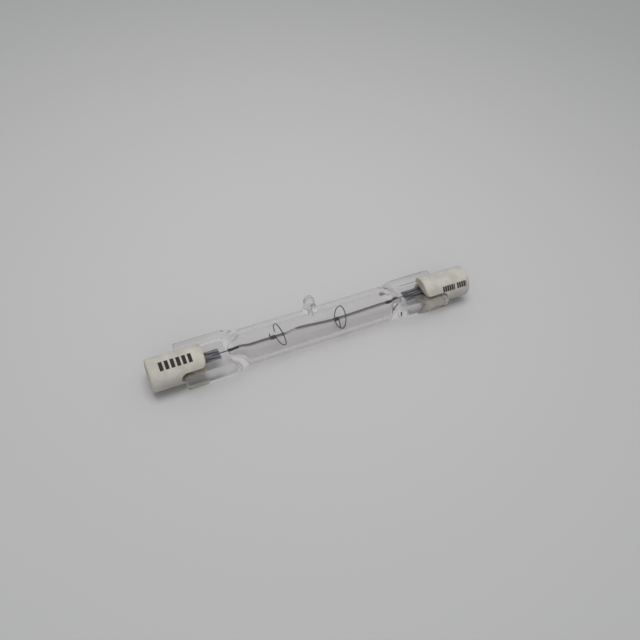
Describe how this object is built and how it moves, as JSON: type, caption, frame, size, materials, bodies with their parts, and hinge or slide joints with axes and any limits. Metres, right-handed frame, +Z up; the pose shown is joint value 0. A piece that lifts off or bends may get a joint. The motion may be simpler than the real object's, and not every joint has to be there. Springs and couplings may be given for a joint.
{
  "type": "quartz bulb",
  "caption": "Double-ended tubular quartz halogen bulb with pinch seals, coiled filament, exhaust tip and ceramic end caps with recessed contacts.",
  "frame": {"origin": "on the surface that the tube lies on, under the middle of the bulb", "axes": "+X along the bulb from its left cap to its right cap, +Z up with the pinch seals lying flat, +Y across them"},
  "size_m": [0.0782, 0.0126, 0.0115],
  "materials": {
    "quartz": "clear fused quartz, smooth",
    "ceramic": "matte cream steatite",
    "cement": "matte ceramic cement",
    "nickel": "turned nickel",
    "molybdenum": "drawn wire, dull grey",
    "foil": "thin metal foil, satin",
    "tungsten": "fine coiled wire, dark grey",
    "sleeve_wire": "fine wound wire, black"
  },
  "bodies": {
    "root": {"quartz_envelope": "quartz", "ceramic_cap_left": "ceramic", "ceramic_cap_right": "ceramic", "cement_left": "cement", "cement_right": "cement", "contact_left": "nickel", "contact_right": "nickel", "outer_lead_left": "molybdenum", "outer_lead_right": "molybdenum", "foil_left": "foil", "foil_right": "foil", "inner_lead_left": "tungsten", "inner_lead_right": "tungsten", "leg_sleeve_left": "sleeve_wire", "leg_sleeve_right": "sleeve_wire", "filament": "tungsten", "filament_support_left": "molybdenum", "filament_support_right": "molybdenum"}
  },
  "joints": []
}
